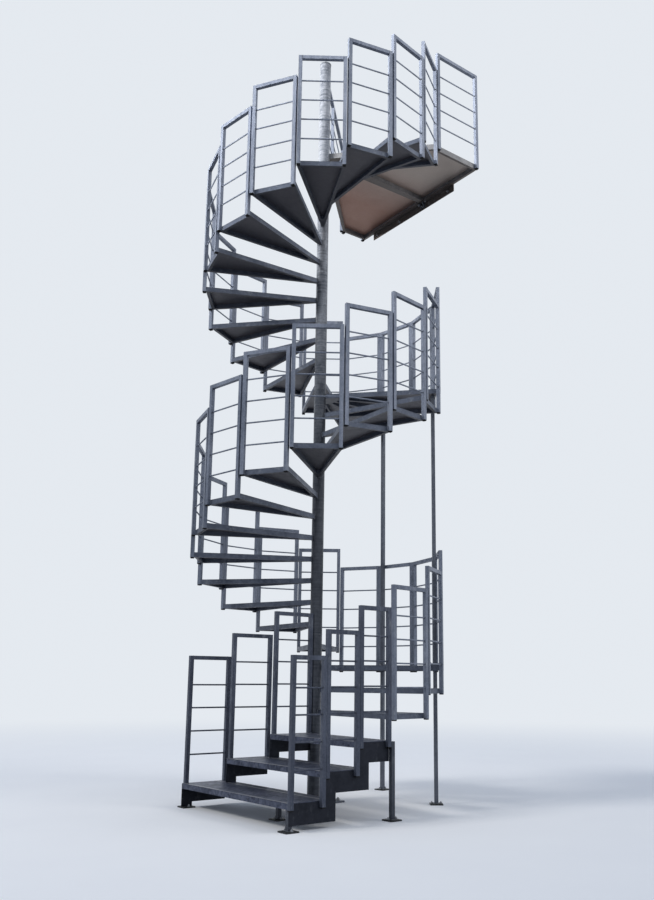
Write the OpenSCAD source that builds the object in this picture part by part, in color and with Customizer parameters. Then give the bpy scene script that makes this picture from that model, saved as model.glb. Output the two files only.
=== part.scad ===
// Outdoor spiral stair tower in galvanised steel, with a central column, a straight flared entry
// flight, two quarter landings and a top platform that is fixed to a building wall.
// Millimetres. Z is up from the ground, the origin is on the column's axis, and the stair climbs
// anticlockwise seen from above. Azimuth 0 is +X and azimuth 270 faces the front, which is -Y.

/* [Stair] */
// Rise of every step
rise = 180; // [150:5:200]
// Height of the rail's top above a tread
rail_h = 940; // [850:10:1100]

/* [Column] */
// Outside diameter of the column
col_d = 101.6; // [76:0.1:115]
// Wall of the column's pipe
col_wall = 4; // [3:0.5:8]
// Side of the square base plate
base_w = 360; // [320:5:440]
// Thickness of the base plate
base_t = 15; // [10:1:30]
// Diameter of the circle of the four anchor holes
anchor_pcd = 400; // [340:5:410]
// Diameter of the anchor holes
anchor_d = 18; // [14:1:26]

/* [Treads] */
// Depth of a tread's turned down rim
tread_t = 40; // [30:1:60]
// Thickness of the top sheet
sheet_t = 4; // [3:0.5:8]
// Width of the rim seen from below
rim_w = 26; // [15:1:40]
// Distance of the posts' middle plane from the column's axis
post_r = 1023; // [850:1:1100]

/* [Balustrade] */
// Side of the square tube of posts and rails
tube_w = 30; // [25:1:40]
// Gap between the posts of neighbouring panels
post_gap = 3; // [2:1:30]
// Diameter of the horizontal rods
rod_d = 12; // [8:1:16]
// Height of the lowest rod above the tread
rod_z = 188; // [150:1:240]
// Distance between rods
rod_pitch = 175; // [120:1:180]

/* [Entry] */
// Direction of the entry flight in plan
entry_a = 38; // [34:1:42]
// Going of the entry steps
going = 289; // [285:1:300]
// How far an entry step laps over the one below
lap = 90; // [60:1:120]
// Depth of an entry step's rim
step_t = 40; // [30:1:50]
// Distance of the right hand rail from the column's axis
entry_right = 1105; // [1080:1:1140]
// How far the lowest step's left hand rail stands left of the column's axis
left_1 = 300; // [260:1:400]
// How far the second step's left hand rail stands left of the column's axis
left_2 = 142; // [110:1:200]
// How far the third step's left hand rail stands left of the column's axis
left_3 = -18; // [-24:1:-17]
// Distance of the middle foot behind the lowest step's front edge
mid_foot_x = 255; // [230:1:280]
// Distance of the middle foot from the right hand rail
mid_foot_y = 500; // [400:5:600]
// Depth of the steps' side plates
side_h = 136; // [120:1:165]
// Thickness of the steps' side plates
side_t = 6; // [4:1:10]

/* [Legs] */
// Side of the square legs
leg_w = 30; // [25:1:45]
// Side of the legs' foot plates
foot_w = 100; // [90:5:160]
// Thickness of the foot plates
foot_t = 10; // [6:1:15]

/* [Platform] */
// Distance of the building wall from the column's axis
wall_r = 1240; // [1200:5:1400]
// Depth of the platform's frame
plat_t = 50; // [40:1:80]
// Thickness of the angle bar that is fixed to the wall
ledger_t = 6; // [4:1:12]
// Height of the angle bar that is fixed to the wall
ledger_h = 70; // [50:1:100]
// Length of the angle bar that is fixed to the wall
ledger_l = 1250; // [1150:10:1350]
// Distance of the platform's back corner from the column's axis
plat_back = 1350; // [1300:5:1400]
// Distance of the side panel's middle post from the column's axis
mid_post_r = 600; // [400:5:800]

/* [Hidden] */
$fn = 48;
pitch = 22.5;
seat = 0.3;
col_r = col_d / 2;
tread_r = post_r - tube_w / 2 - seat;
tread_x = tread_r * tan(pitch / 2) - 2;
tip_x = 12;
plat_z = 32 * rise;
ledger_y = -440;
ledger_holes = [for (i = [0:3]) ledger_y + 80 + i * (ledger_l - 150) / 3];
col_top = plat_z + rail_h - 8;
steel = "silver";

// Posts of a ring panel stand either side of its middle by this much
post_x = (post_r - tube_w / 2) * tan(pitch / 2) - tube_w / 2 - post_gap / 2;
// In the entry flight's own frame X is the walking direction and the column is at the origin
left_y = [0, left_1, left_2, left_3];
right_y = -entry_right;
// All three steps are equally deep, and the third ends at the column
step_d = going + lap;
function front(k) = (k - 3) * going - step_d - col_r + 1.8;
entry_leg_x = front(3) + going + leg_w / 2 - tube_w / 2 + 1;
function polar(r, a) = [r * cos(a), r * sin(a)];
// A convex outline, listed anticlockwise, drawn in by a distance
function inset(p, w) = [for (i = [0:len(p) - 1]) let (a = p[(i + len(p) - 1) % len(p)], b = p[i],
  c = p[(i + 1) % len(p)], u = (b - a) / norm(b - a), v = (c - b) / norm(c - b),
  m = [-u[1], u[0]], n = [-v[1], v[0]]) b + w * (m + n) / (1 + m * n)];

// Platform corners: on the stair's side and on the wall
wall_a = 36;
wall_n = [cos(wall_a), sin(wall_a)];
plat_f = polar(tread_r / cos(pitch / 2), -pitch / 2);
plat_b = polar(plat_back, 82);
function to_wall(p, gap) = p + (wall_r - gap - p * wall_n) * wall_n;
plat_e = to_wall(plat_f, 3);
plat_c = to_wall(plat_b, 3);

// One tread: a sheet with a rim turned down all round, cut to sit against the column
module tread(level, az) {
  translate([0, 0, level * rise]) rotate([0, 0, az]) difference() {
    translate([0, 0, -tread_t]) linear_extrude(tread_t)
      polygon([[40, -tip_x], [tread_r, -tread_x], [tread_r, tread_x], [40, tip_x]]);
    translate([0, 0, -tread_t - 1]) linear_extrude(tread_t + 1 - sheet_t)
      polygon(inset([[150, -tip_x - 22], [tread_r, -tread_x], [tread_r, tread_x], [150, tip_x + 22]], rim_w));
    translate([0, 0, -tread_t - 1]) cylinder(r = col_r + seat, h = tread_t + 2);
  }
}

// One balustrade panel in the XZ plane: two posts, the top rail and four rods
module panel(x0, x1, foot, up = 0, top = rail_h) {
  for (x = [x0, x1]) translate([x - tube_w / 2, -tube_w / 2, foot])
    cube([tube_w, tube_w, top - foot]);
  translate([x0, -tube_w / 2, top - tube_w]) cube([x1 - x0, tube_w, tube_w]);
  for (i = [0:3]) translate([x0, 0, rod_z + up + i * rod_pitch]) rotate([0, 90, 0])
    cylinder(d = rod_d, h = x1 - x0, $fn = 16);
}

// A panel on the outside of the tread or landing sector at an azimuth
module ring_panel(level, az) {
  translate([0, 0, level * rise]) rotate([0, 0, az]) translate([post_r, 0, 0])
    rotate([0, 0, 90]) panel(-post_x, post_x, -tread_t);
}

module treads(levels) { for (n = levels) tread(n, azimuth(n)); }
module rails(levels) { for (n = levels) ring_panel(n, azimuth(n)); }
// Azimuth of a tread from its level
function azimuth(n) = n < 6 ? (n - 6) * pitch : n < 19 ? 90 + (n - 7) * pitch : 90 + (n - 20) * pitch;

// A flat bar between two points in plan, from z0 up to z1
module bar(p, q, w, z0, z1) {
  d = q - p;
  translate([p[0], p[1], z0]) rotate([0, 0, atan2(d[1], d[0])]) translate([0, -w / 2, 0])
    cube([norm(d), w, z1 - z0]);
}

// Corners of a quarter landing's outline
module quarter(r, inset) {
  polygon([polar(inset, 33.75), for (i = [0:4]) polar(r / cos(pitch / 2), -pitch / 2 + i * pitch)]);
}

module landing_frame(level) {
  difference() {
    translate([0, 0, level * rise - tread_t]) linear_extrude(tread_t - sheet_t) quarter(tread_r, 0);
    for (i = [0:3]) translate([0, 0, level * rise - tread_t - 1]) rotate([0, 0, i * pitch])
      linear_extrude(tread_t + 2) polygon(inset([[150, -150 * tan(pitch / 2)],
        [tread_r - 12, -(tread_r - 12) * tan(pitch / 2)], [tread_r - 12, (tread_r - 12) * tan(pitch / 2)],
        [150, 150 * tan(pitch / 2)]], 14));
    translate([0, 0, level * rise - tread_t - 1]) cylinder(r = col_r + seat, h = tread_t + 2);
  }
}

module landing_deck(level) {
  difference() {
    translate([0, 0, level * rise - sheet_t]) linear_extrude(sheet_t) quarter(tread_r, 0);
    translate([0, 0, level * rise - sheet_t - 1]) cylinder(r = col_r + seat, h = sheet_t + 2);
  }
}

module landing_rails(level) { for (i = [0:3]) ring_panel(level, i * pitch); }

module column() {
  color("gainsboro") difference() {
    translate([0, 0, base_t]) cylinder(d = col_d, h = col_top - base_t);
    translate([0, 0, base_t - 1]) cylinder(d = col_d - 2 * col_wall, h = col_top + 2);
  }
}

module column_base() {
  color("gray") rotate([0, 0, entry_a]) difference() {
    translate([-base_w / 2, -base_w / 2, 0]) cube([base_w, base_w, base_t]);
    for (i = [0:3]) rotate([0, 0, 45 + 90 * i]) translate([anchor_pcd / 2, 0, -1])
      cylinder(d = anchor_d, h = base_t + 2);
  }
}

module column_cap() {
  color("dimgray") translate([0, 0, col_top]) cylinder(d = col_d + 4, h = 8);
}

// The three wide steps, each narrower than the one below and lapping over its back
module entry_steps() {
  color(steel) rotate([0, 0, entry_a]) for (k = [1:3]) {
    y0 = right_y + tube_w / 2 + side_t + 2 * seat; w = left_y[k] + tube_w / 2 + 5 - y0;
    difference() {
      translate([front(k), y0, k * rise - step_t]) linear_extrude(step_t) polygon(step_plan(k, w));
      translate([front(k), y0, k * rise - step_t - 1]) linear_extrude(step_t + 1 - sheet_t)
        polygon(inset(step_plan(k, w), rim_w));
      translate([0, 0, k * rise - step_t - 2]) cylinder(r = col_r + seat, h = step_t + 4);
    }
  }
}

// Outline of a step: the third is shorter at its right end, where the leg stands
function step_plan(k, w) = [[0, 0], [k < 3 ? step_d : entry_leg_x + leg_w / 2 - front(3), 0],
  [step_d, w], [0, w]];

// Side plate on the left of each step, with a leg that stands on the step below or on a foot
module entry_side_left() {
  color(steel) rotate([0, 0, entry_a]) for (k = [1:3])
    translate([front(k), left_y[k] + tube_w / 2 + 5 + seat, 0]) {
      z0 = k > 1 ? (k - 1) * rise : foot_t;
      translate([0, 0, z0]) cube([lap, side_t, k * rise - sheet_t - z0]);
      translate([0, 0, k * rise - side_h - sheet_t])
        cube([step_d - (k == 3 ? 3 : 0), side_t, side_h]);
    }
}

// One stepped plate along the right ends of all three steps
module entry_side_right() {
  color(steel) rotate([0, 0, entry_a]) translate([0, right_y + tube_w / 2 + seat, 0]) {
    for (k = [1:3]) translate([front(k), 0, k * rise - side_h - sheet_t])
      cube([k < 3 ? step_d : entry_leg_x - front(3) - leg_w / 2 - seat, side_t, side_h]);
    for (k = [2:3]) translate([front(k), 0, (k - 1) * rise - sheet_t - 1])
      cube([lap, side_t, rise - side_h + 2]);
  }
}

module entry_rail_left() {
  color(steel) rotate([0, 0, entry_a]) for (k = [1:3]) translate([front(k), left_y[k], k * rise])
    panel(tube_w / 2 + 5, step_d - tube_w / 2 - 5, 0, 22, rail_h + 18);
}

module entry_rail_right() {
  color(steel) rotate([0, 0, entry_a]) for (k = [1:3]) translate([front(k), right_y, k * rise])
    panel(1, going - tube_w - 1, -tread_t, 15);
}

// A square leg on a foot plate that has two anchor holes
module leg(p, z0, z1, a) {
  translate([p[0], p[1], 0]) rotate([0, 0, a]) {
    translate([-leg_w / 2, -leg_w / 2, z0 + foot_t]) cube([leg_w, leg_w, z1 - z0 - foot_t]);
    foot(z0);
  }
}

module foot(z0) {
  difference() {
    translate([-foot_w / 2, -foot_w / 2, z0]) cube([foot_w, foot_w, foot_t]);
    for (x = [-1, 1]) translate([x * (foot_w / 2 - 14), 0, z0 - 1]) cylinder(d = 11, h = foot_t + 2);
  }
}

// Feet of the lowest step: one under each end and one under the middle of its back edge
module entry_feet() {
  color("gray") rotate([0, 0, entry_a]) {
    translate([front(1) + lap / 2, left_1 + tube_w / 2 + 8, 0]) rotate([0, 0, 90]) foot(0);
    leg([front(1) + leg_w / 2, right_y + tube_w / 2 + side_t + 2 * seat + leg_w / 2], 0, rise - step_t, 90);
    leg([front(1) + mid_foot_x, right_y + mid_foot_y], 0, rise - sheet_t, 90);
  }
}

// The leg at the end of the right hand side plate
module entry_leg() {
  color("gray") rotate([0, 0, entry_a]) leg([entry_leg_x, right_y], 0, 3 * rise - sheet_t, 0);
}
module lower_legs() {
  color("gray") { leg(polar(995, 53), 0, 6 * rise - tread_t, 45); leg(polar(985, -8), 0, 6 * rise - tread_t, 0); }
}
module upper_legs() {
  color("gray") {
    leg(polar(995, 53), 6 * rise, 19 * rise - tread_t, 45);
    leg(polar(985, -8), 6 * rise, 19 * rise - tread_t, 0);
  }
}

module platform_outline() { polygon([[0, 0], plat_f, plat_e, plat_c, plat_b]); }

module platform_frame() {
  z0 = plat_z - plat_t; z1 = plat_z - sheet_t;
  color("gray") difference() {
    translate([0, 0, z0]) linear_extrude(plat_t - sheet_t) platform_outline();
    translate([0, 0, z0 - 1]) linear_extrude(plat_t + 2)
      polygon(inset([polar(60, 12), plat_f, plat_e, to_wall([0, 0], 3)], 25));
    translate([0, 0, z0 - 1]) linear_extrude(plat_t + 2)
      polygon(inset([polar(60, 60), to_wall([0, 0], 3), plat_c, plat_b], 25));
    translate([0, 0, z0 - 1]) cylinder(r = col_r + seat, h = plat_t + 2);
  }
}

module platform_deck() {
  color(steel) difference() {
    translate([0, 0, plat_z - sheet_t]) linear_extrude(sheet_t) platform_outline();
    translate([0, 0, plat_z - sheet_t - 1]) cylinder(r = col_r + seat, h = sheet_t + 2);
  }
}

// A panel that stands outside the platform between two corners in plan
module edge_panel(p, q, off, foot) {
  d = q - p; a = atan2(d[1], d[0]);
  translate([p[0], p[1], plat_z]) rotate([0, 0, a]) translate([0, off, 0])
    panel(17, norm(d) - 17, foot);
}

module platform_front_rail() {
  color(steel) edge_panel(plat_f + 20 * wall_n, plat_e, -tube_w / 2 - seat, -plat_t);
}
module platform_side_rail() {
  color(steel) {
    edge_panel(plat_b, polar(75, 82), -tube_w / 2 - seat, -plat_t);
    translate([0, 0, plat_z]) rotate([0, 0, 82]) translate([mid_post_r, tube_w / 2 + seat, -plat_t])
      translate([-tube_w / 2, -tube_w / 2, 0]) cube([tube_w, tube_w, plat_t + rail_h - 1]);
  }
}
module platform_back_rail() {
  color(steel) edge_panel(plat_c, plat_b, -tube_w / 2 - seat, -plat_t);
}

// Angle bar under the platform's edge, with four anchor holes into the building wall
module wall_ledger() {
  z1 = plat_z - plat_t;
  color("gray") rotate([0, 0, wall_a]) difference() {
    union() {
      translate([wall_r - ledger_t, ledger_y, z1 - ledger_h]) cube([ledger_t, ledger_l, ledger_h]);
      translate([wall_r - 50, ledger_y, z1 - ledger_t]) cube([50, ledger_l, ledger_t]);
    }
    for (y = ledger_holes) translate([wall_r - ledger_t - 1, y, z1 - ledger_h / 2 - 3]) rotate([0, 90, 0])
      cylinder(d = 14, h = ledger_t + 2);
  }
}

column();
column_base();
column_cap();
entry_steps();
entry_side_left();
entry_side_right();
entry_rail_left();
entry_rail_right();
entry_feet();
color(steel) treads([4, 5]);  // winder_treads
color(steel) rails([4, 5]);  // winder_rails
color("gray") landing_frame(6);  // lower_landing_frame
color(steel) landing_deck(6);  // lower_landing_deck
color(steel) landing_rails(6);  // lower_landing_rails
color(steel) treads([7, 8, 9, 10]);  // lower_treads_a
color(steel) treads([11, 12, 13, 14]);  // lower_treads_b
color(steel) treads([15, 16, 17, 18]);  // lower_treads_c
color(steel) rails([7, 8, 9, 10]);  // lower_rails_a
color(steel) rails([11, 12, 13, 14]);  // lower_rails_b
color(steel) rails([15, 16, 17, 18]);  // lower_rails_c
color("gray") landing_frame(19);  // mid_landing_frame
color(steel) landing_deck(19);  // mid_landing_deck
color(steel) landing_rails(19);  // mid_landing_rails
color(steel) treads([20, 21, 22, 23]);  // upper_treads_a
color(steel) treads([24, 25, 26, 27]);  // upper_treads_b
color(steel) treads([28, 29, 30, 31]);  // upper_treads_c
color(steel) rails([20, 21, 22, 23]);  // upper_rails_a
color(steel) rails([24, 25, 26, 27]);  // upper_rails_b
color(steel) rails([28, 29, 30, 31]);  // upper_rails_c
platform_frame();
platform_deck();
platform_front_rail();
platform_side_rail();
platform_back_rail();
wall_ledger();
entry_leg();
lower_legs();
upper_legs();
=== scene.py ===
import bpy
import numpy as np
from mathutils import Matrix


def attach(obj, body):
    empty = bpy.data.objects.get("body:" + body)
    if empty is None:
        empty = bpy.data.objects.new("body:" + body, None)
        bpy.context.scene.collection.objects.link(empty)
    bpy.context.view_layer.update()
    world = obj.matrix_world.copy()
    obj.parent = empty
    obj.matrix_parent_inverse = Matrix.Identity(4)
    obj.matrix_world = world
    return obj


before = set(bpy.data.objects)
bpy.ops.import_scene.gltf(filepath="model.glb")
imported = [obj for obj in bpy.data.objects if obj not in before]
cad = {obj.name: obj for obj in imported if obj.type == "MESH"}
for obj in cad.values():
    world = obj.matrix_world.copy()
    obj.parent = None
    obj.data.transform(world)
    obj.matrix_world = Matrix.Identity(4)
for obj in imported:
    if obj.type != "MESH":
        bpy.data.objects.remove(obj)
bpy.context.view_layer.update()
scene = bpy.context.scene


# The view. The eye is 7.3 m in front of the column, a little to its right and 0.96 m up, and
# looks 11.3 degrees upwards through a 35 mm lens, so the treads are seen from below.
def pose(side, up, back, place):
    """A 4 by 4 placing: its first three columns are the axes, and its fourth is the place."""
    matrix = np.eye(4)
    matrix[:3] = np.column_stack([side, up, back, place])
    return Matrix(matrix.tolist())


tilt, turn, lean = np.radians([11.3185, 1.5546, 0.4324])
ahead = np.array([np.cos(tilt) * np.sin(turn), np.cos(tilt) * np.cos(turn), np.sin(tilt)])
level_side = np.array([np.cos(turn), -np.sin(turn), 0.0])
level_up = np.cross(level_side, ahead)
side = np.cos(lean) * level_side + np.sin(lean) * level_up
up = np.cos(lean) * level_up - np.sin(lean) * level_side
picture_height = 900    # pixels
eye = bpy.data.cameras.new("eye")
eye.lens, eye.sensor_width = 34.946, 36.0
eye.shift_x, eye.shift_y = -33.0 / picture_height, 55.2 / picture_height
eye.clip_end = 200.0
viewer = bpy.data.objects.new("viewer", eye)
scene.collection.objects.link(viewer)
viewer.matrix_world = pose(side, up, -ahead, [0.1589, -7.3466, 0.9600])
scene.camera = viewer
scene.view_settings.view_transform = "Standard"


# The floor and the sky. A pale even floor and a pale sky stand round the stair. Its steel is lit
# by the sky, a soft sun from the left, a broad warm lamp on the right and a lamp high on the left.
def node(tree, kind, feeds=None, **settings):
    """One shader node: feeds maps a socket to a value or to the socket that drives it."""
    made = tree.nodes.new(kind)
    for name, value in settings.items():
        setattr(made, name, value)
    for name, value in (feeds or {}).items():
        if isinstance(value, bpy.types.NodeSocket):
            tree.links.new(value, made.inputs[name])
        else:
            made.inputs[name].default_value = value
    return made


def emptied(owner):
    """The shader tree of a world or a material, with nothing left in it."""
    owner.use_nodes = True
    owner.node_tree.nodes.clear()
    return owner.node_tree


def mixed(tree, amount, first, second):
    """A colour that is first where amount is 0 and second where it is 1."""
    return node(tree, "ShaderNodeMix", {0: amount, 6: first, 7: second}, data_type="RGBA").outputs[2]


def sums(tree, kind, *terms, clamp=False):
    """One step of arithmetic on up to three numbers or sockets."""
    return node(tree, "ShaderNodeMath", dict(enumerate(terms)), operation=kind, use_clamp=clamp).outputs[0]


def noise(tree, place, scale, detail, rough=0.5):
    """Clouds about a middle of one half: scale is how many lie along a metre, detail how often
    finer ones are added, and rough how strong each is beside the last."""
    return node(tree, "ShaderNodeTexNoise", {"Vector": place, "Scale": scale, "Detail": detail,
                                             "Roughness": rough}).outputs[0]


def ramp(tree, value, low, high, at_low=0.0, at_high=1.0, **settings):
    """A number that goes from at_low to at_high as value goes from low to high, and then stays."""
    return node(tree, "ShaderNodeMapRange", {"Value": value, "From Min": low, "From Max": high,
                                             "To Min": at_low, "To Max": at_high}, **settings).outputs[0]


def seen_directly(tree):
    """1 for what the eye, a reflection or clear glass sees, and 0 for light that is scattered."""
    path = node(tree, "ShaderNodeLightPath").outputs
    return sums(tree, "ADD", sums(tree, "ADD", path["Is Camera Ray"], path["Is Glossy Ray"]),
                path["Is Transmission Ray"], clamp=True)


pale_sky = (0.78, 0.82, 0.87, 1)
sky = bpy.data.worlds.new("sky")
scene.world = sky
tree = emptied(sky)
glow = node(tree, "ShaderNodeBackground", {"Color": (0.62, 0.70, 0.84, 1), "Strength": 0.71})
seen = node(tree, "ShaderNodeBackground", {"Color": pale_sky, "Strength": 1.0})
both = node(tree, "ShaderNodeMixShader", {0: seen_directly(tree), 1: glow.outputs[0], 2: seen.outputs[0]})
node(tree, "ShaderNodeOutputWorld", {"Surface": both.outputs[0]})

yard_mat = bpy.data.materials.new("pale yard")
tree = emptied(yard_mat)
place = node(tree, "ShaderNodeTexCoord").outputs["Object"]
away = node(tree, "ShaderNodeVectorMath", {0: place}, operation="LENGTH").outputs["Value"]
fade = ramp(tree, away, 3.0, 16.0, interpolation_type="SMOOTHSTEP")
pale = mixed(tree, noise(tree, place, 1.5, 6.0), (0.90, 0.91, 0.93, 1), (0.94, 0.95, 0.96, 1))
matt = node(tree, "ShaderNodeBsdfDiffuse",
            {"Color": mixed(tree, seen_directly(tree), (0.16, 0.16, 0.17, 1), pale)})
far = node(tree, "ShaderNodeEmission", {"Color": pale_sky, "Strength": 1.0})
faded = sums(tree, "MULTIPLY", fade, seen_directly(tree))
both = node(tree, "ShaderNodeMixShader", {0: faded, 1: matt.outputs[0], 2: far.outputs[0]})
node(tree, "ShaderNodeOutputMaterial", {"Surface": both.outputs[0]})
half = 60.0
mesh = bpy.data.meshes.new("yard")
mesh.from_pydata([(-half, -half, 0), (half, -half, 0), (half, half, 0), (-half, half, 0)], [], [(0, 1, 2, 3)])
mesh.materials.append(yard_mat)
yard = bpy.data.objects.new("yard", mesh)
scene.collection.objects.link(yard)


def unit(v):
    """v at a length of one, or each row of it where it has rows."""
    return v / np.linalg.norm(v, axis=-1, keepdims=True)


def lamp(name, kind, place, target, energy, colour, **settings):
    """A lamp at place that shines towards target. Glossy faces don't mirror it, so a flat sheet
    of zinc shows no white patch."""
    light = bpy.data.lights.new(name, kind)
    light.energy, light.color = energy, colour
    for key, value in settings.items():
        setattr(light, key, value)
    holder = bpy.data.objects.new(name, light)
    holder.visible_glossy = False
    scene.collection.objects.link(holder)
    beam = unit(np.subtract(target, place))
    across = unit(np.cross(beam, [0.0, 0.0, 1.0]))
    holder.matrix_world = pose(across, np.cross(across, beam), -beam, place)


lamp("sun", "SUN", (-8.0, -3.6, 9.0), (0, 0, 0), 1.00, (1.0, 0.97, 0.92), angle=0.24)
lamp("warm light", "AREA", (6.0, -2.6, 6.4), (0, 0, 5.8), 165.0, (1.0, 0.95, 0.88),
     shape="RECTANGLE", size=4.0, size_y=4.0, spread=1.8)
lamp("high light", "AREA", (-10.4, -3.6, 8.4), (0, 0, 7.9), 620.0, (1.0, 0.98, 0.95),
     shape="RECTANGLE", size=3.0, size_y=3.0, spread=0.8)


# The column's foot. A square plate lies on the foundation under the entry steps, hot dip
# galvanised after welding, and is held down by four anchors with washers and hexagon nuts.
def stretched(tree, place, scale):
    """Where a pattern is read: the place with each axis multiplied by its scale."""
    return node(tree, "ShaderNodeMapping", {"Vector": place, "Scale": scale}).outputs[0]


def along_bearing(tree, place, bearing):
    """The place turned back by a bearing, so that X runs along it and Y to its left."""
    back = node(tree, "ShaderNodeMapping", {"Vector": place, "Rotation": (0, 0, -bearing)}).outputs[0]
    return node(tree, "ShaderNodeSeparateXYZ", {"Vector": back}).outputs


def weighed(tree, *pairs):
    """The sum of each pair's value times its weight."""
    total = 0.0
    for value, weight in pairs:
        total = sums(tree, "MULTIPLY_ADD", value, weight, total)
    return total


def zinc(name, dark, light, stretch=(1.0, 1.0, 1.0), cell=70.0, spangle=0.26, rough=(0.44, 0.62),
         metal=0.45, shine=0.5, bands=0.0, runs=0.0, nosing=None, sheet=False, under=None,
         halves=None, painted_low_shade=None, footing=None):
    """Hot dip zinc: broad clouds and small crystals set the tone between dark and light.
    stretch draws the clouds out along an axis, cell is the number of crystals to a metre and
    spangle their share, rough the range of the gloss, and shine the gloss of what isn't metal.
    bands adds level rings, runs fine drips, and sheet a painted shadow line at the joint 4 mm below each
    step's top.
    nosing is a worn front edge: its bearing, the first edge, the way to the next, its width.
    under holds painted light and shade: the tones of faces that look down, set for the light and
    shade below the stair, a rim's edge and then the open inside, and halves a bearing and the open
    inside's painted tone to the right of it. dulled is painted shade: how much darker the zinc is
    painted low down, and the heights between which that fades, and footing the top of a plate
    painted near black for the shade it stands in."""
    made = bpy.data.materials.new(name)
    tree = emptied(made)
    place = node(tree, "ShaderNodeTexCoord").outputs["Object"]
    height = node(tree, "ShaderNodeSeparateXYZ", {"Vector": place}).outputs["Z"]
    facing = node(tree, "ShaderNodeNewGeometry").outputs["Normal"]
    lift = node(tree, "ShaderNodeSeparateXYZ", {"Vector": facing}).outputs["Z"]
    drawn = stretched(tree, place, stretch)
    cloud = noise(tree, drawn, 7.0, 7.0, 0.62)
    crystal = node(tree, "ShaderNodeTexVoronoi", {"Vector": place, "Scale": cell}).outputs["Color"]
    flake = node(tree, "ShaderNodeSeparateColor", {"Color": crystal}).outputs[0]
    marks = [(cloud, 1.7), (flake, spangle)]
    relief = [(cloud, 1.0), (flake, 0.10), (noise(tree, place, 420.0, 3.0), 0.07)]
    if bands:
        ringed = noise(tree, stretched(tree, place, (1.2, 1.2, 26.0)), 2.4, 5.0)
        marks.append((ringed, bands))
        relief.append((ringed, 0.9))
    if runs:
        marks.append((noise(tree, stretched(tree, place, (60.0, 60.0, 2.2)), 1.0, 4.0), runs))
    darkest = 0.37 + 0.5 * (spangle + bands + runs)
    tone = sums(tree, "SUBTRACT", weighed(tree, *marks), darkest, clamp=True)
    colour = mixed(tree, tone, (*dark, 1), (*light, 1))
    most_chalk = 0.42 * min(1.0, light[0] / 0.12)
    chalk = ramp(tree, noise(tree, drawn, 19.0, 8.0, 0.7), 0.56, 0.74, 0.0, most_chalk)
    colour = mixed(tree, chalk, colour, (0.40, 0.42, 0.44, 1))
    if nosing:
        bearing, first, going, width = nosing
        behind = sums(tree, "SUBTRACT", along_bearing(tree, place, bearing)["X"], first)
        behind = sums(tree, "FLOORED_MODULO", behind, going)
        worn = ramp(tree, sums(tree, "MULTIPLY_ADD", cloud, 0.05, behind), 0.026, width, 0.7, 0.0)
        worn = sums(tree, "MULTIPLY", worn, sums(tree, "GREATER_THAN", lift, 0.5))
        colour = mixed(tree, worn, colour, (0.42, 0.43, 0.45, 1))
    if under or sheet:
        level = sums(tree, "FRACT", sums(tree, "DIVIDE", sums(tree, "ADD", height, 0.00001), rise))
    # Painted light and shade: faces that look down get flat tones that stand for the light and shade below
    # the stair, and the open inside is painted apart from a rim's edge.
    if under:
        below = ramp(tree, lift, -0.9, -0.4, 1.0, 0.0)
        patchy = ramp(tree, noise(tree, place, 160.0, 4.0), 0.25, 0.75, 0.72, 1.0)
        rim_ends = 0.9          # the share of a rise between a rim's edge and its sheet
        inside = sums(tree, "MULTIPLY", sums(tree, "GREATER_THAN", level, rim_ends), patchy)
        deep = (*under[1], 1)
        if halves:
            left = ramp(tree, along_bearing(tree, place, halves[0])["Y"], -0.30, 0.45)
            deep = mixed(tree, left, (*halves[1], 1), deep)
        colour = mixed(tree, below, colour, mixed(tree, inside, (*under[0], 1), deep))
    # Painted shadow: a thin dark line on upright faces 4 mm below each top, where the sheet lies on its rim.
    if sheet:
        upright = sums(tree, "LESS_THAN", sums(tree, "ABSOLUTE", lift), 0.5)
        middle, half_line = 0.9776, 0.0034      # shares of a rise: 4 mm from its top, and 0.6 mm
        shadow_line = sums(tree, "MULTIPLY", sums(tree, "COMPARE", level, middle, half_line), upright)
        colour = mixed(tree, sums(tree, "MULTIPLY", shadow_line, 0.75), colour, (0.020, 0.022, 0.026, 1))
    # Painted shade: the zinc is painted darker towards the bottom, fading out between the two heights.
    if painted_low_shade:
        share, low, high = painted_low_shade
        low_shade_mask = ramp(tree, sums(tree, "MULTIPLY_ADD", cloud, 0.8, height), low, high, share, 0.0)
        colour = mixed(tree, low_shade_mask, colour, (0.020, 0.024, 0.033, 1))
    # Painted shade: below this height the zinc is painted near black, for the shade on the foot plates.
    if footing:
        colour = mixed(tree, sums(tree, "LESS_THAN", height, footing), colour, (0.022, 0.023, 0.026, 1))
    gloss = ramp(tree, weighed(tree, (cloud, 1.0), (flake, 0.3)), 0.3, 0.95, rough[1], rough[0])
    bump = node(tree, "ShaderNodeBump", {"Height": weighed(tree, *relief), "Strength": 0.30,
                                         "Distance": 0.003}).outputs[0]
    skin = node(tree, "ShaderNodeBsdfPrincipled", {"Base Color": colour, "Roughness": gloss, "Normal": bump,
                                                   "Metallic": metal, "Specular IOR Level": shine})
    node(tree, "ShaderNodeOutputMaterial", {"Surface": skin.outputs[0]})
    return made


def dress(material, *names):
    """Puts a finish on CAD nodes."""
    for name in names:
        cad[name].data.materials.clear()
        cad[name].data.materials.append(material)


def wrapped(rows, sides, closed=False):
    """The faces of a tube whose points lie in rows, sides to a row: each quad joins two neighbours
    in a row to the two beside them in the next row. An open tube has a flat lid on each end."""
    i, j = np.meshgrid(np.arange(rows if closed else rows - 1), np.arange(sides), indexing="ij")
    k, m = (j + 1) % sides, (i + 1) % rows
    quads = np.stack([i * sides + j, i * sides + k, m * sides + k, m * sides + j], -1).reshape(-1, 4)
    lids = np.stack([np.arange(sides)[::-1], (rows - 1) * sides + np.arange(sides)])
    return [quads] if closed else [quads, lids]


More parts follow.
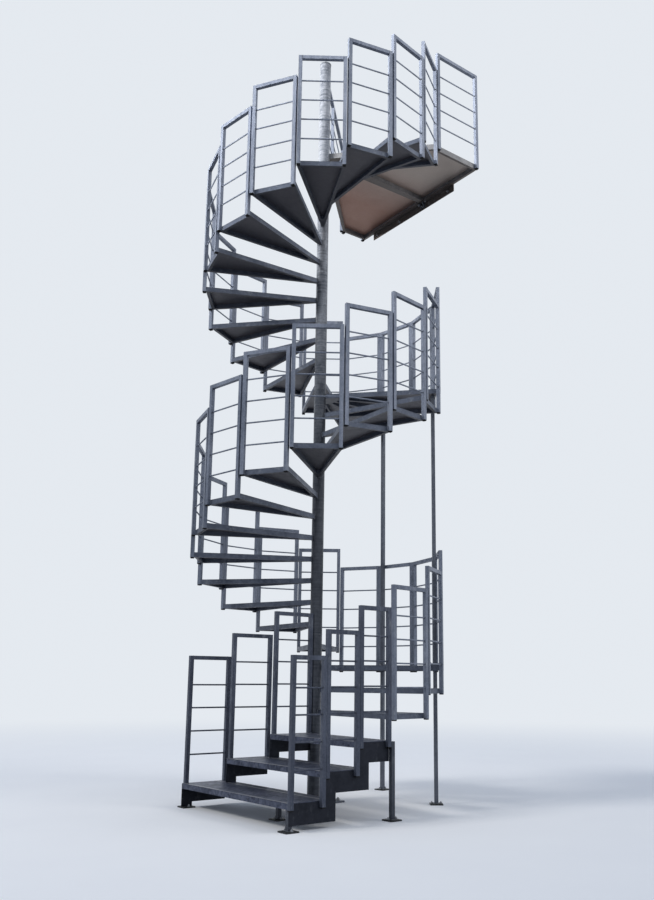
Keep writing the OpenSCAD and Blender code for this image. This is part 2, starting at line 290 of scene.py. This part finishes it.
def turned(profile, sides):
    """A turned solid: each (radius, height) of the profile, from the bottom up, becomes a ring of
    points at equal angles, neighbouring rings are joined, and flat lids close both ends."""
    rows = np.asarray(profile, float)
    angle = 2 * np.pi * np.arange(sides) / sides
    points = np.stack([rows[:, :1] * np.cos(angle), rows[:, :1] * np.sin(angle),
                       np.repeat(rows[:, 1:], sides, 1)], -1).reshape(-1, 3)
    return points, wrapped(len(rows), sides)


def joined(*shapes):
    """Several shapes as one: points in one list, and face numbers moved up to match."""
    starts = np.cumsum([0] + [len(s[0]) for s in shapes[:-1]])
    return np.concatenate([s[0] for s in shapes]), [g + n for s, n in zip(shapes, starts) for g in s[1]]


def placed(shape, places):
    """The shape at each place, a 3 by 4 matrix: points times the turn, plus the move."""
    points, groups = shape
    places = np.asarray(places, float)
    spread = np.einsum("nij,kj->nki", places[:, :, :3], points) + places[:, None, :, 3]
    shift = np.arange(len(places))[:, None, None] * len(points)
    return spread.reshape(-1, 3), [(g[None] + shift).reshape(-1, g.shape[1]) for g in groups]


def spot(point, bearing=0.0, about=0.0):
    """A place: turned by bearing on the spot, moved to point, then turned round the column by about."""
    def spin(a):
        c, s = np.cos(np.radians(a)), np.sin(np.radians(a))
        return np.array([[c, -s, 0], [s, c, 0], [0, 0, 1.0]])
    return np.column_stack([spin(about) @ spin(bearing), spin(about) @ np.asarray(point, float)])


def piece(name, shape, material, smooth=True):
    """A finished piece of the stair from a shape's points and faces."""
    points, groups = shape
    mesh = bpy.data.meshes.new(name)
    mesh.from_pydata(points.tolist(), [], [f for g in groups for f in g.tolist()])
    mesh.polygons.foreach_set("use_smooth", np.full(len(mesh.polygons), smooth))
    mesh.materials.append(material)
    made = bpy.data.objects.new(name, mesh)
    scene.collection.objects.link(made)
    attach(made, "root")


def anchor(size, plate=0.0):
    """A washer, a hexagon nut and the end of a threaded rod, on a plate of that thickness. Every
    radius is a share of size, the rod's diameter, and the rows are counted from the washer's top."""
    seat = plate + 0.0028
    top = seat + 0.8 * size
    washer = turned([(1.05 * size, plate), (1.10 * size, plate + 0.0006), (1.10 * size, plate + 0.0022),
                     (1.04 * size, seat)], 20)
    nut = turned([(0.86 * size, seat), (0.95 * size, seat + 0.001), (0.95 * size, top - 0.001),
                  (0.84 * size, top)], 6)
    rod = turned([(0.49 * size, seat - 0.0008 + 0.78 * size), (0.49 * size, seat + 1.25 * size),
                  (0.40 * size, seat + 1.38 * size)], 12)
    return joined(washer, nut, rod)


rise, entry_bearing = 0.180, 38.0
zinc_plate = zinc("zinc on plate", (0.070, 0.079, 0.100), (0.140, 0.154, 0.188), cell=55.0)
zinc_bolt = zinc("zinc on bolts", (0.20, 0.21, 0.23), (0.36, 0.37, 0.39), cell=260.0,
                 rough=(0.28, 0.44), metal=0.8)
dress(zinc_plate, "column_base")
bolt_circle, base_thick = 0.200, 0.015
base_spots = [spot((bolt_circle, 0, base_thick), about=entry_bearing + 45 + 90 * i) for i in range(4)]
piece("base_anchors", placed(anchor(0.016), base_spots), zinc_bolt, smooth=False)


# The column. One thick walled tube runs from the foot to above the platform, with level ripples
# in its zinc, a welded seam at each length of tube, and a weld all round each tread's end.
# Painted light and shade: the column's light tone is raised for the sunlit top, and the zinc is painted
# darker towards the bottom.
zinc_column = zinc("zinc on column", (0.074, 0.086, 0.110), (0.400, 0.422, 0.470), (1.0, 1.0, 0.55),
                   cell=48.0, rough=(0.28, 0.50), metal=0.55, bands=1.5, painted_low_shade=(0.86, 3.3, 6.0))
zinc_weld = zinc("zinc on welds", (0.105, 0.115, 0.135), (0.200, 0.212, 0.235), cell=320.0,
                 rough=(0.34, 0.50), metal=0.55)
dress(zinc_column, "column", "column_cap")
column_r, platform_z = 0.0508, 32 * rise
rim_deep, deck_deep = 0.0405, 0.0505    # how far the weld runs down: at a tread, at the platform


def corners(points, step, closed=False):
    """Evenly spaced points along straight runs: the running length is cut up and read off each axis."""
    points = np.asarray(points, float)
    if closed:
        points = np.vstack([points, points[:1]])
    run = np.concatenate([[0], np.cumsum(np.linalg.norm(np.diff(points, axis=0), axis=1))])
    count = max(3, int(round(run[-1] / step)))
    at = np.linspace(0, run[-1], count + (0 if closed else 1), endpoint=not closed)
    return np.stack([np.interp(at, run, axis) for axis in points.T], -1)


def bead(path, radius, outward, sides=5, closed=True):
    """A round bead along a path: at each point a ring of that radius stands square to the path,
    counted from the outward direction, and rings are joined. Open ends get lids."""
    path = np.asarray(path, float)
    run = unit(np.roll(path, -1, 0) - np.roll(path, 1, 0) if closed else np.gradient(path, axis=0))
    out = np.broadcast_to(np.asarray(outward, float), path.shape)
    out = unit(out - np.sum(out * run, 1, keepdims=True) * run)
    other = np.cross(run, out)
    angle = 2 * np.pi * np.arange(sides)[:, None] / sides
    points = path[:, None] + radius * (np.cos(angle) * out[:, None] + np.sin(angle) * other[:, None])
    return points.reshape(-1, 3), wrapped(len(path), sides, closed)


def away_from_column(turn):
    """The level direction straight out from the column at each angle: its cosine and its sine."""
    return np.stack([np.cos(turn), np.sin(turn), 0 * turn], -1)


def hub_weld(first, last, deep=rim_deep):
    """The weld round a tread's end on the column: a box of angles first to last (degrees), from
    0.8 mm above the tread's top to deep below it, wrapped on a cylinder just outside the column."""
    r, top = column_r + 0.0014, 0.0008
    a, b = np.radians(first) * r, np.radians(last) * r
    flat = corners([(a, -deep), (b, -deep), (b, top), (a, top)], 0.0055, closed=True)
    out = away_from_column(flat[:, 0] / r)
    return bead(out * r + flat[:, 1:] * [0, 0, 1], 0.0032, out)


def hoop(radius, height, thick):
    """A bead round the column at one height."""
    out = away_from_column(2 * np.pi * np.arange(48) / 48)
    return bead(out * radius + [0, 0, height], thick, out, sides=6)


def bearing_of(level):
    """Direction of a tread: one sector of 22.5 degrees a step, with a landing in four of them."""
    return (level - 6) * 22.5 if level < 6 else 90 + (level - (7 if level < 19 else 20)) * 22.5


tread_levels, landing_levels = [4, 5, *range(7, 19), *range(20, 32)], (6, 19)
tread_spots = [spot((0, 0, n * rise), bearing_of(n)) for n in tread_levels]
landing_spots = [spot((0, 0, n * rise)) for n in landing_levels]
step_spot, platform_spot = spot((0, 0, 3 * rise), entry_bearing), spot((0, 0, platform_z))
piece("tread_hub_welds", placed(hub_weld(-16.6, 16.6), tread_spots), zinc_weld)
piece("landing_hub_welds", placed(hub_weld(-11.0, 78.5), landing_spots), zinc_weld)
piece("third_step_hub_weld", placed(hub_weld(177.9, 196.2), [step_spot]), zinc_weld)
piece("platform_hub_weld", placed(hub_weld(-11.0, 82.0, deck_deep), [platform_spot]), zinc_weld)
foot_ring, top_ring = hoop(column_r + 0.001, 0.0165, 0.0042), hoop(column_r, 6.6905, 0.0018)
seams = [hoop(column_r, z, 0.0022) for z in (1.331, 3.290, 3.611, 3.815)]
piece("column_seams", joined(foot_ring, *seams, top_ring), zinc_weld)


# The entry flight. Three wide steps of folded sheet on a welded rim lap over one another. Their
# side plates are welded on, and the lowest stands on square legs whose foot plates are painted near black,
# painted shade.
first_front, going = -1.006, 0.289      # the lowest step's front edge, and the way to the next
step_front = [first_front + k * going for k in range(3)]
left_rail, right_rail = [0.300, 0.142, -0.018], -1.105
foot_thick = 0.010
# Painted shade: the wide steps are a darker copy of the stair's zinc, for the shade the entry stands in.
zinc_step = zinc("zinc on wide steps", (0.026, 0.033, 0.060), (0.083, 0.098, 0.152), cell=48.0,
                 spangle=0.9, rough=(0.40, 0.58), sheet=True,
                 under=((0.060, 0.064, 0.076), (0.070, 0.074, 0.086)),
                 nosing=(np.radians(entry_bearing), first_front, going, 0.060))
# Painted shade: the side plates are darker still, for the shade on their faces.
zinc_side = zinc("zinc on side plates", (0.016, 0.018, 0.025), (0.034, 0.038, 0.051), (1.0, 1.0, 0.6),
                 cell=45.0, metal=0.1, shine=0.15)
zinc_leg = zinc("zinc on legs", (0.068, 0.078, 0.100), (0.150, 0.165, 0.200), (1.0, 1.0, 0.3),
                runs=0.5, footing=foot_thick + 0.0002)
# Painted shade: the entry feet are a darker copy of the legs' zinc, for the shade they stand in.
zinc_foot = zinc("zinc on entry feet", (0.038, 0.044, 0.058), (0.086, 0.096, 0.120), (1.0, 1.0, 0.3),
                 runs=0.5, footing=foot_thick + 0.0002)
dress(zinc_step, "entry_steps")
dress(zinc_side, "entry_side_left", "entry_side_right")
dress(zinc_leg, "lower_legs", "upper_legs")
dress(zinc_foot, "entry_feet", "entry_leg")


def entry(x, y, z, bearing=0.0):
    """A place in the entry flight, with x along the walk and y to its left."""
    return spot((x, y, z), bearing, entry_bearing)


def along(place, x, y, z):
    """A place moved by x, y, z in its own axes."""
    return np.column_stack([place[:, :3], place[:, 3] + place[:, :3] @ np.array([x, y, z])])


def tube_foot_weld(height):
    """A bead round a square tube at one height: its path is a square 0.6 mm outside the tube."""
    half = 0.0156
    ring = corners([(half, -half, height), (half, half, height), (-half, half, height),
                    (-half, -half, height)], 0.0075, closed=True)
    return bead(ring, 0.0026, ring * [1, 1, 0])


# Four feet stand under the entry flight and two under the lower landing. A second pair stands
# on that landing, six rises up, and carries the upper one.
foot_spots = [entry(-0.961, 0.323, 0, 90), entry(-0.991, -1.0684, 0, 90), entry(-0.751, -0.605, 0, 90),
              entry(-0.138, -1.105, 0), spot((0.985, 0, 0), 8, -8), spot((0.995, 0, 0), -8, 53)]
high_feet = [along(p, 0, 0, 6 * rise) for p in foot_spots[4:]]
bolt_spots = [along(p, x, 0, 0) for p in foot_spots + high_feet for x in (-0.036, 0.036)]
piece("foot_anchors", placed(anchor(0.010, foot_thick), bolt_spots), zinc_bolt, smooth=False)
piece("leg_foot_welds", placed(tube_foot_weld(foot_thick + 0.0012), foot_spots[1:] + high_feet), zinc_weld)


# Step welds. Short runs of weld, a hand's width apart, hold each side plate to the rims of the
# wide steps. They are laid along the rims' lower edges, on the inside of the plates.
def run_of_weld(start, end, out, radius=0.0026):
    """A straight bead from start to end, with lids."""
    return bead(corners([start, end], 0.008), radius, out, closed=False)


stitch_starts, stitch_spots = (0.03, 0.13, 0.23, 0.33), []
for k, x in enumerate(step_front):
    z = (k + 1) * rise - rim_deep
    stitch_spots += [entry(x + s, left_rail[k] + 0.0205, z) for s in stitch_starts]
    stitch_spots += [entry(x + s, right_rail + 0.0215, z) for s in stitch_starts[:4 if k < 2 else 2]]
stitch = run_of_weld((0, 0, 0), (0.035, 0, 0), (0, 0, 1))
piece("step_stitches", placed(stitch, stitch_spots), zinc_weld)


# The balustrade. Each panel is two square posts and a top rail with four round rods, welded and
# then galvanised. Black plugs close the posts from below, and beads show where the tubes meet.
# Painted light: the blue cast of these zinc tones stands for light from the sky.
zinc_rail = zinc("zinc on rails", (0.112, 0.132, 0.178), (0.262, 0.292, 0.364), (1.0, 1.0, 0.35),
                 cell=85.0, metal=0.4, runs=0.9)
dress(zinc_rail, *[n for n in cad if "rail" in n and "entry" not in n])
# Painted shade: the entry rails are a darker copy of the rails' zinc, for the shade the entry stands in.
zinc_low_rail = zinc("zinc on entry rails", (0.036, 0.043, 0.066), (0.102, 0.118, 0.162),
                     (1.0, 1.0, 0.35), cell=85.0, rough=(0.38, 0.55), runs=0.8)
dress(zinc_low_rail, "entry_rail_left", "entry_rail_right")
post_x, post_r, rail_top, half_tube = 0.18398, 1.023, 0.940, 0.015
lowest_rod, rod_step = 0.188, 0.175
right_posts, left_posts = (0.001, 0.258), (0.020, 0.359)
seat_gap = 0.0003                       # between a panel and the tread it stands beside


def panel_welds(x0, x1, lift=0.0, top=rail_top):
    """The beads of one panel in its own plane: a ring where each rod meets a post, and a loop
    where the top rail meets each post."""
    turn = 2 * np.pi * np.arange(8) / 8
    ring = np.stack([0 * turn, np.cos(turn), np.sin(turn)], -1)
    loop = corners([(0, -half_tube, -half_tube), (0, half_tube, -half_tube), (0, half_tube, half_tube),
                    (0, -half_tube, half_tube)], 0.0075, closed=True)
    shapes = []
    for x in (x0 + half_tube, x1 - half_tube):
        rods = [(x, 0, lowest_rod + lift + rod_step * i) for i in range(4)]
        shapes += [bead(ring * 0.0066 + rod, 0.0016, ring, 4) for rod in rods]
        shapes.append(bead(loop + [x, 0, top - half_tube], 0.0011, loop, 4))
    return joined(*shapes)


ring_levels = sorted([(n, bearing_of(n)) for n in tread_levels]
                     + [(n, 22.5 * i) for n in landing_levels for i in range(4)])
ring_spots = [spot((post_r, 0, n * rise), 90, a) for n, a in ring_levels]
piece("ring_panel_welds", placed(panel_welds(-post_x, post_x), ring_spots), zinc_weld)
right_spots = [entry(x, right_rail, (k + 1) * rise) for k, x in enumerate(step_front)]
left_spots = [entry(x, y, (k + 1) * rise) for k, (x, y) in enumerate(zip(step_front, left_rail))]
piece("entry_panel_welds", joined(placed(panel_welds(*right_posts, 0.015), right_spots),
                                  placed(panel_welds(*left_posts, 0.022, 0.958), left_spots)),
      zinc_weld)
left_feet = [along(p, x, 0, 0) for p in left_spots for x in left_posts]
piece("left_post_welds", placed(tube_foot_weld(0.0012), left_feet), zinc_weld)
seat = half_tube + seat_gap
post_weld = run_of_weld((0, seat, -0.037), (0, seat, -0.003), (0, 1, 0), 0.0022)
post_edges = [along(p, x, 0, 0) for p in ring_spots for x in (0.0165 - post_x, post_x - 0.0165)]
piece("post_tread_welds", placed(post_weld, post_edges), zinc_weld)

black = bpy.data.materials.new("black plugs")
tree = emptied(black)
place = node(tree, "ShaderNodeTexCoord").outputs["Object"]
scuff = noise(tree, place, 90.0, 5.0)
pits = node(tree, "ShaderNodeBump", {"Height": noise(tree, place, 900.0, 2.0), "Strength": 0.2,
                                     "Distance": 0.001})
plastic = node(tree, "ShaderNodeBsdfPrincipled", {
    "Base Color": mixed(tree, scuff, (0.002, 0.002, 0.002, 1), (0.007, 0.007, 0.008, 1)),
    "Specular IOR Level": 0.22, "Roughness": ramp(tree, scuff, 0.0, 1.0, 0.50, 0.75),
    "Normal": pits.outputs[0]})
node(tree, "ShaderNodeOutputMaterial", {"Surface": plastic.outputs[0]})


def plug():
    """The head of a tube plug below a post: a square of rounded corners, drawn in towards its
    lower face. A corner is three points on a quarter circle."""
    half, deep = 0.0152, 0.0090
    turn = np.radians(np.add.outer(90 * np.arange(4), [20, 45, 70])).ravel()
    heart = np.repeat(np.radians(45 + 90 * np.arange(4)), 3)

    def row(size, round_by, height):
        core = (size - round_by) * np.sqrt(2)
        return np.stack([core * np.cos(heart) + round_by * np.cos(turn),
                         core * np.sin(heart) + round_by * np.sin(turn), np.full(12, height)], -1)
    rows = [row(half - 0.0022, 0.002, -deep), row(half, 0.003, -0.4 * deep), row(half, 0.003, 0.0)]
    return np.concatenate(rows), wrapped(3, 12)


plug_spots = [along(p, x, 0, -0.040) for p in ring_spots for x in (-post_x, post_x)]
plug_spots += [along(p, x, 0, -0.040) for p in right_spots for x in right_posts]
piece("post_plugs", placed(plug(), plug_spots), black)


# The treads and the landings. Each is a rim of flat bar under a sheet of 4 mm, open below. Their
# zinc is painted darker for the shade they stand in, and faces that look down get flat tones set for
# the shade there, painted shade. A thin shadow line shows where the sheet lies on its rim.
zinc_tread = zinc("zinc on treads", (0.058, 0.070, 0.100), (0.142, 0.162, 0.210), cell=55.0, sheet=True,
                  under=((0.104, 0.103, 0.112), (0.128, 0.120, 0.128)))
dress(zinc_tread, *[n for n in cad if "treads" in n or ("landing" in n and "rails" not in n)])


# The platform. Bars and a sheet carry the last walk, and a bar with four anchors is bolted on
# across its end. Below, it is painted with light: brown on the left of the walk, which stands for
# warm light from a red roof, and pale on the right.
bar_bearing, bar_at, bar_thick, deck_bar = np.radians(36.0), 1.240, 0.006, 0.050
walk = np.array([np.cos(bar_bearing), np.sin(bar_bearing), 0.0])
left_of_walk = np.array([-np.sin(bar_bearing), np.cos(bar_bearing), 0.0])
# Painted light: the underside's tones stand for warm light from a red roof on the left of the walk, and are
# pale on the right.
zinc_platform = zinc("zinc on platform", (0.125, 0.128, 0.140), (0.250, 0.252, 0.262), cell=40.0,
                     rough=(0.42, 0.62), metal=0.35, sheet=True,
                     under=((0.160, 0.136, 0.120), (0.500, 0.280, 0.205)),
                     halves=(bar_bearing, (0.620, 0.525, 0.450)))
dress(zinc_platform, "platform_deck", "platform_frame")
# Painted light and shade: the end bar's dark warm brown follows the platform's painted underside, darker for
# the shade under the platform.
zinc_ledger = zinc("zinc on end bar", (0.060, 0.050, 0.045), (0.125, 0.104, 0.092), cell=55.0,
                   rough=(0.5, 0.7), metal=0.2)
dress(zinc_ledger, "wall_ledger")


def on_bar(y, height):
    """A place on the near face of the end bar, with its third axis towards the stair."""
    point = (bar_at - bar_thick) * walk + y * left_of_walk + [0, 0, height]
    return np.column_stack([[0, 0, 1.0], left_of_walk, -walk, point])


def gusset():
    """A clipped triangle of plate 6 mm thick: its outline lies in the first and third axes, and
    the second is its thickness."""
    reach, fall = 0.040, 0.055
    flat = np.array([(-0.0005, 0.0), (-0.0005, reach), (-0.010, reach), (-fall, 0.010), (-fall, 0.0)])
    faces = [np.column_stack([flat[:, 0], np.full(5, y), flat[:, 1]]) for y in (-0.003, 0.003)]
    return np.concatenate(faces), wrapped(2, 5)


bar_anchors = [on_bar(y, 5.672) for y in (-0.360, 0.00667, 0.37333, 0.740)]
piece("wall_anchors", placed(anchor(0.012), bar_anchors), zinc_bolt, smooth=False)
under_bar = [on_bar(y, platform_z - deck_bar - bar_thick) for y in (-0.022, 0.022)]
piece("wall_bar_gussets", placed(gusset(), under_bar), zinc_plate, smooth=False)
upside_down = np.diag([1.0, -1.0, -1.0])
joint_bolts = [np.column_stack([upside_down, 1.214 * walk + y * left_of_walk
                                + [0, 0, platform_z - deck_bar - bar_thick]]) for y in (-0.050, 0.050)]
piece("wall_bar_bolts", placed(anchor(0.010), joint_bolts), zinc_bolt, smooth=False)


def plan(radius, bearing):
    """A point in plan at a radius and a bearing in degrees."""
    return radius * np.array([np.cos(np.radians(bearing)), np.sin(np.radians(bearing))])


def at_end(corner):
    """A corner moved along the walk to 3 mm short of the end bar's far face."""
    return corner + (bar_at - 0.003 - corner @ walk[:2]) * walk[:2]


def rail_line(start, end):
    """The place of a platform panel, and how far along it its posts stand: its line in plan is
    moved out by half a tube and the gap, and the posts stand 17 mm in from each end."""
    length, inset = np.linalg.norm(end - start), 0.017
    c, s = (end - start) / length
    base = np.array([[c, -s, 0, start[0] + s * seat], [s, c, 0, start[1] - c * seat], [0, 0, 1, platform_z]])
    return base, [inset, length - inset]


back_bearing = 82.0
front_corner = plan(1.0077 / np.cos(np.radians(11.25)), -11.25)
back_corner, near_hub = plan(1.350, back_bearing), plan(0.075, back_bearing)
lines = [rail_line(front_corner + 0.020 * walk[:2], at_end(front_corner)),
         rail_line(back_corner, near_hub), rail_line(at_end(back_corner), back_corner)]
piece("platform_panel_welds", joined(*[placed(panel_welds(*ends), [base]) for base, ends in lines]),
      zinc_weld)
ends_below = [along(base, x, 0, -deck_bar) for base, ends in lines for x in ends]
ends_below.append(spot((0.600, seat, platform_z - deck_bar), about=back_bearing))
piece("platform_plugs", placed(plug(), ends_below), black)
